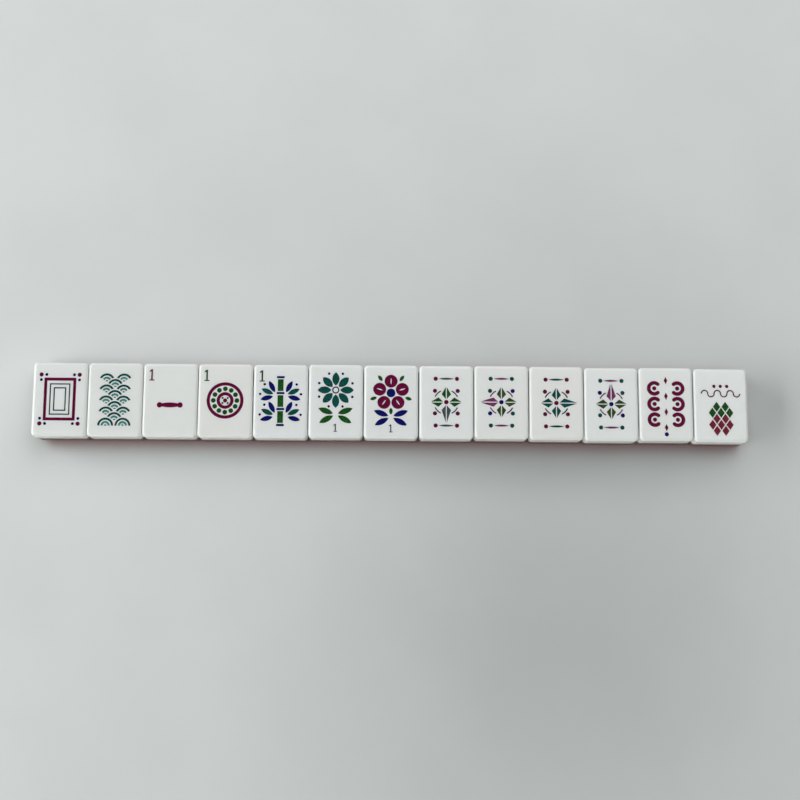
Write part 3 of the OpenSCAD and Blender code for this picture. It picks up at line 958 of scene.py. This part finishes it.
# colours of the painted shade, in front of the row and behind it
FRONT_PAINTED_SHADE = colour(180, 158, 158)
BACK_PAINTED_SHADE = colour(196, 194, 196)
reach = {"Distance": CAST_REACH}
open_sky = table_top.node("ShaderNodeAmbientOcclusion", {"samples": 8}, reach, output="AO")
cast = open_sky.maths("MINIMUM", (1 - open_sky) * CAST_GAIN, 1) ** CAST_FALL
washed = table_top.step(table_top.axis("X"), LEFT_END, LEFT_END + CAST_START)
in_front = 1 - table_top.step(table_top.axis("Y"), -CAST_START, 0)
# painted shade: darkens the table's colour and tints it mauve round the tiles
tone = table_top.blend(cast * washed, tone, table_top.blend(in_front, BACK_PAINTED_SHADE, FRONT_PAINTED_SHADE))
print("the cast reaches", round(CAST_REACH / MM, 1), "mm")

# %% [markdown]
# ## The floor and the backdrop
# Seen from low down, a lit floor would end at a dark edge. So it fades into the pale backdrop from
# `HAZE`'s first distance to its second, in metres, by mixing in a plain glow. The glow shows only to
# rays that look at it, and lights nothing, because a Light Path node tells these rays from the rest.

# %% Floor
FLOOR_SIZE = 2.4
BACKDROP = colour(206, 211, 210)
HAZE = (0.45, 1.1)


def seen(nodes):
    """1 for a ray that shows a background: one from the camera, off a gloss or through glass."""
    kinds = ("Camera", "Glossy", "Transmission")
    from_camera, off_gloss, through_glass = (
        nodes.node("ShaderNodeLightPath", output=f"Is {kind} Ray") for kind in kinds
    )
    return from_camera + off_gloss + through_glass


matt = table_top.node("ShaderNodeBsdfPrincipled", {}, {
    "Base Color": tone, "Roughness": 0.5 + dust * 0.1, "Normal": table_top.bump(dust, DUST_HEIGHT),
    "Specular IOR Level": 0.2,
})
glow = table_top.node("ShaderNodeEmission", {}, {"Color": BACKDROP, "Strength": 1})
away = table_top.node("ShaderNodeVectorMath", {"operation": "LENGTH"}, {0: table_top.place}, output="Value")
haze = table_top.step(away, *HAZE) * seen(table_top)
both = table_top.node("ShaderNodeMixShader", {}, {0: haze, 1: matt, 2: glow})
table_top.node("ShaderNodeOutputMaterial", {}, {"Surface": both})
half = FLOOR_SIZE / 2
floor_mesh = bpy.data.meshes.new("floor")
floor_corners = [(-half, -half, 0), (half, -half, 0), (half, half, 0), (-half, half, 0)]
floor_mesh.from_pydata(floor_corners, [], [(0, 1, 2, 3)])
floor_mesh.materials.append(table_top.material)
floor = bpy.data.objects.new("floor", floor_mesh)
bpy.context.scene.collection.objects.link(floor)
print("floor is", FLOOR_SIZE, "m wide")

# %% [markdown]
# ## Light
# The shadows tell where the light comes from. The one in front of the row is soft and fades slowly,
# so a large panel hangs high behind the row. The shadow past the right end is a dark triangle, and
# past the back left corner a crisp line leaves the row: both come from a wide window at the left.
# Its front part is a lamp of its own, the curtain, because it's much dimmer than the rest. A low
# card in front brightens the front sides, and barely reaches the table. Places, sizes and strengths
# come from fitting the floor's shades to the photograph's. White light from all round, the world,
# fills the rest, and only a little, or the shadows would wash out. To the camera, and in glossy
# surfaces, the world shows the pale backdrop instead.

# %% Lamps
def lamp(name, width, height, watts, place, aim):
    """A rectangular area light, in metres. It faces the point that aim gives."""
    data = bpy.data.lights.new(name, "AREA")
    data.shape = "RECTANGLE"
    data.size = width
    data.size_y = height
    data.energy = watts
    light = bpy.data.objects.new(name, data)
    light.location = place
    light.rotation_euler = (Vector(aim) - Vector(place)).to_track_quat("-Z", "Y").to_euler()
    bpy.context.scene.collection.objects.link(light)


lamp("high_panel", width=1.78, height=1.34, watts=13.7, place=(0.53, 0.72, 1.1), aim=(0, 0, 0))
lamp("left_window", width=1.39, height=0.67, watts=15.2, place=(-1.1, 0.12, 0.63), aim=(0, 0.12, 0.63))
lamp("left_curtain", width=0.67, height=0.67, watts=3.4, place=(-1.1, -0.91, 0.63), aim=(0, -0.91, 0.63))
lamp("front_card", width=1.4, height=0.28, watts=6, place=(0, -1.3, 0.16), aim=(0, 0, 0.16))
print("four lamps")

# %% World
WORLD_LIGHT = 0.05
WHITE_LIGHT = (1, 1, 1, 1)
world = bpy.data.worlds.new("world")
bpy.context.scene.world = world
world.use_nodes = True
sky = Nodes(world.node_tree)
fill = sky.node("ShaderNodeBackground", {}, {"Color": WHITE_LIGHT, "Strength": WORLD_LIGHT})
shown = sky.node("ShaderNodeBackground", {}, {"Color": BACKDROP, "Strength": 1})
both = sky.node("ShaderNodeMixShader", {}, {0: seen(sky), 1: fill, 2: shown})
sky.node("ShaderNodeOutputWorld", {}, {"Surface": both})
bpy.context.scene.view_settings.view_transform = "Standard"
print("world of strength", WORLD_LIGHT)
